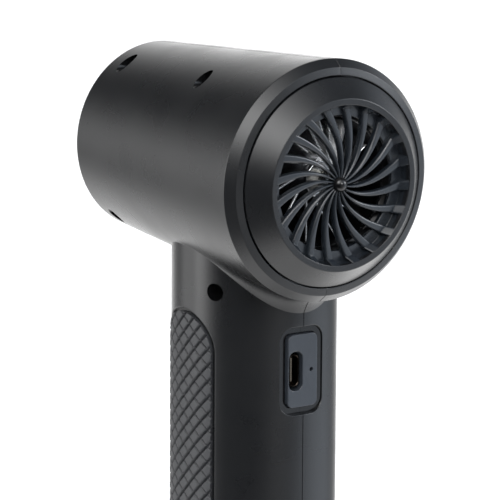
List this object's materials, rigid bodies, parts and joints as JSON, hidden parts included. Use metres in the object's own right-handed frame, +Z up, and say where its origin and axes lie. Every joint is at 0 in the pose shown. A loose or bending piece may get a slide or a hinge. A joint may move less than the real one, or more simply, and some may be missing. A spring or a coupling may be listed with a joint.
{
  "type": "car dryer blower",
  "caption": "Hand-held cordless turbine blower for drying cars: tapered barrel with swirled rear intake grille, oval handle with trigger, grip pads and charging port.",
  "frame": {"origin": "centre of the flat underside of the handle, on the plane it stands on", "axes": "+Z up along the handle, -Y the way the air leaves the barrel, +Y the intake side, +X the side of the shell with the screw holes"},
  "size_m": [0.065, 0.0932, 0.1875],
  "materials": {
    "shell_abs": "satin, fine spark texture",
    "bezel_abs": "satin, fine texture",
    "grille_abs": "semi-gloss moulded",
    "panel_abs": "satin moulded",
    "bellmouth_abs": "gloss moulded",
    "cast_aluminium": "die cast, blasted",
    "milled_aluminium": "milled",
    "brass_nut": "turned",
    "ground_steel": "ground",
    "magnet_sleeve": "nickel plated",
    "core_steel": "stacked laminations",
    "copper_wire": "enamelled copper wire",
    "lead_insulation": "silicone insulation",
    "trigger_abs": "satin moulded",
    "switch_nylon": "moulded nylon",
    "spring_steel": "drawn wire",
    "switch_case": "moulded",
    "circuit_board": "solder mask",
    "chip_epoxy": "moulded epoxy",
    "capacitor_sleeve": "shrink sleeve",
    "socket_steel": "nickel plated",
    "socket_tongue": "moulded",
    "light_pipe": "clear moulded",
    "grip_rubber": "moulded, diamond grooves",
    "damper_rubber": "moulded",
    "foot_rubber": "moulded",
    "cell_sleeve": "shrink sleeve over a steel can",
    "holder_plastic": "moulded",
    "nickel_strip": "rolled",
    "black_steel": "black oxide"
  },
  "bodies": {
    "housing": {"left_shell": "shell_abs", "right_shell": "shell_abs", "rear_bezel": "bezel_abs", "intake_grille": "grille_abs", "bellmouth": "bellmouth_abs", "fan_housing": "cast_aluminium", "outlet_nozzle": "bezel_abs", "tail_cone": "cast_aluminium", "front_damper": "damper_rubber", "rear_damper": "damper_rubber", "front_bearing": "ground_steel", "rear_bearing": "ground_steel", "bearing_carrier": "cast_aluminium", "stator_core": "core_steel", "stator_windings": "copper_wire", "motor_leads": "lead_insulation", "trigger_spring": "spring_steel", "switch_body": "switch_case", "control_board": "circuit_board", "power_transistors": "chip_epoxy", "filter_capacitor": "capacitor_sleeve", "charging_board": "circuit_board", "usb_socket": "socket_steel", "usb_tongue": "socket_tongue", "port_panel": "panel_abs", "charge_light": "light_pipe", "left_grip": "grip_rubber", "right_grip": "grip_rubber", "battery_cell_1": "cell_sleeve", "battery_cell_2": "cell_sleeve", "battery_cell_3": "cell_sleeve", "lower_cell_holder": "holder_plastic", "upper_cell_holder": "holder_plastic", "cell_straps": "nickel_strip", "battery_board": "circuit_board", "battery_leads": "lead_insulation", "charge_leads": "lead_insulation", "base_cap": "bezel_abs", "base_foot": "foot_rubber", "base_screws": "black_steel", "housing_screws": "black_steel"},
    "trigger": {"trigger": "trigger_abs", "switch_plunger": "switch_nylon"},
    "rotor": {"impeller": "milled_aluminium", "impeller_nut": "brass_nut", "motor_shaft": "ground_steel", "rotor_magnet": "magnet_sleeve"}
  },
  "joints": [
    {"name": "trigger_slide", "type": "slide", "parent": "housing", "child": "trigger", "axis": [0, 1, 0], "range_m": [0, 0.006], "stiffness_N_per_m": 500, "springref_m": -0.004, "deforming": ["trigger_spring"]},
    {"name": "rotor_spin", "type": "hinge", "parent": "housing", "child": "rotor", "pos_m": [0, 0, 0.155], "axis": [0, 1, 0], "continuous": true}
  ]
}
